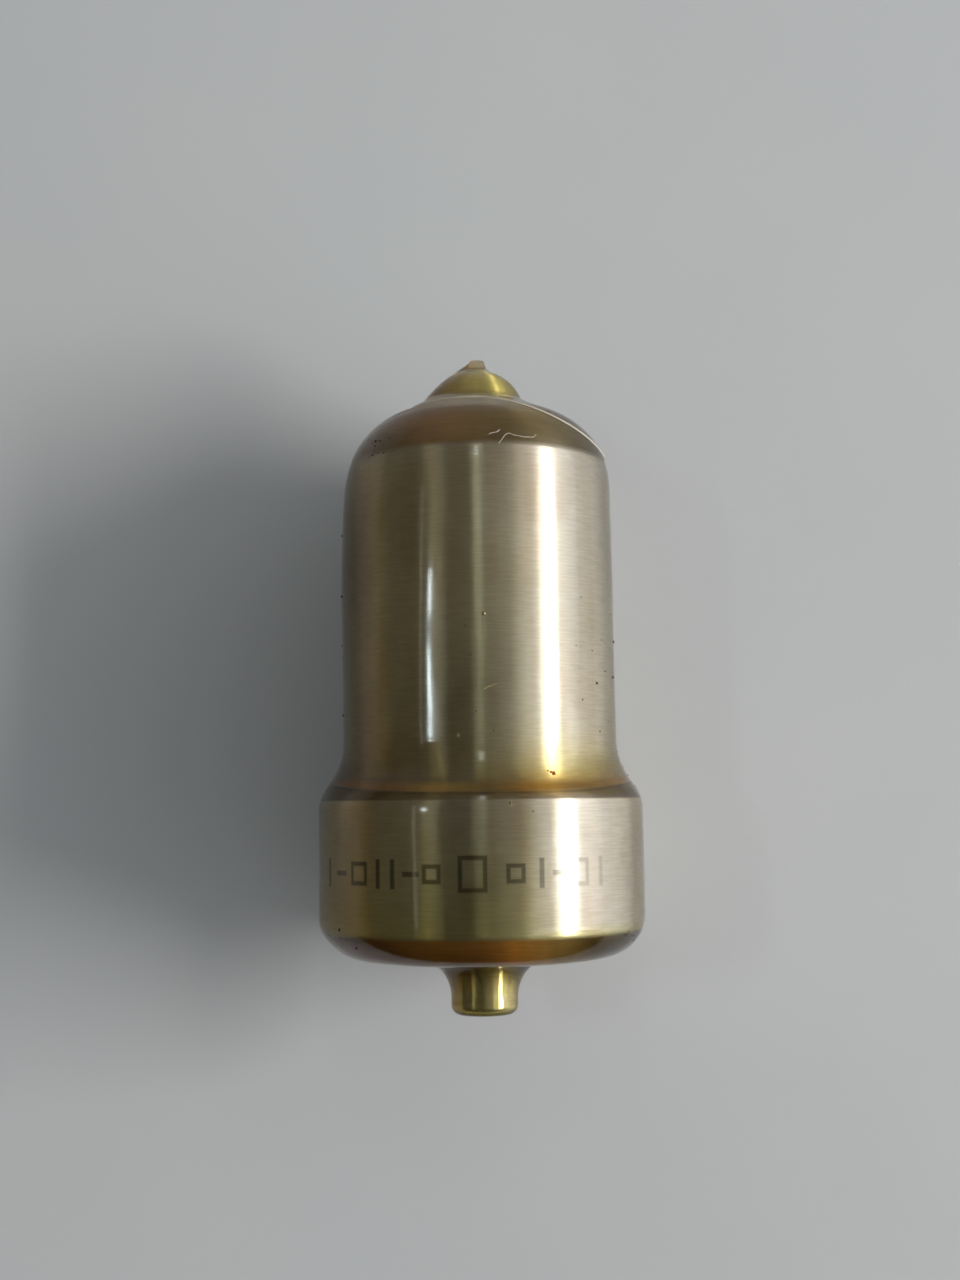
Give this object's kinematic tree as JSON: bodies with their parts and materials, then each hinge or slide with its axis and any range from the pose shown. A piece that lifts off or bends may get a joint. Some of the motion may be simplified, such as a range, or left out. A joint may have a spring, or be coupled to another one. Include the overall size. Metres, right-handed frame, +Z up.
{
  "type": "diesel injector pintle nozzle",
  "caption": "Pintle-type diesel injector nozzle: steel body with sliding needle valve, sealed in an amber peel-off protective coating.",
  "frame": {"origin": "on the surface that the nozzle lies on, below the middle of its length and its axis", "axes": "+Y along the nozzle's axis towards the spray tip, +X to the right in the picture, +Z up. The axis is 8.79 mm above the surface. The lapped steel sealing face is the plane y = -14.7 mm and the spray orifice's mouth is at y = 17.1 mm"},
  "size_m": [0.0176, 0.0362, 0.0176],
  "materials": {
    "ground_steel": "fine axial and circumferential grinding, satin",
    "lapped_steel": "lapped bright steel",
    "amber_coating": "clear amber, glossy, a little wavy"
  },
  "bodies": {
    "nozzle": {"nozzle_body": "ground_steel", "peel_coating": "amber_coating"},
    "needle": {"needle_valve": "lapped_steel"}
  },
  "joints": [
    {"name": "needle_lift", "type": "slide", "parent": "nozzle", "child": "needle", "axis": [0, -1, 0], "range_m": [0, 0.0008], "deforming": ["peel_coating"]}
  ]
}
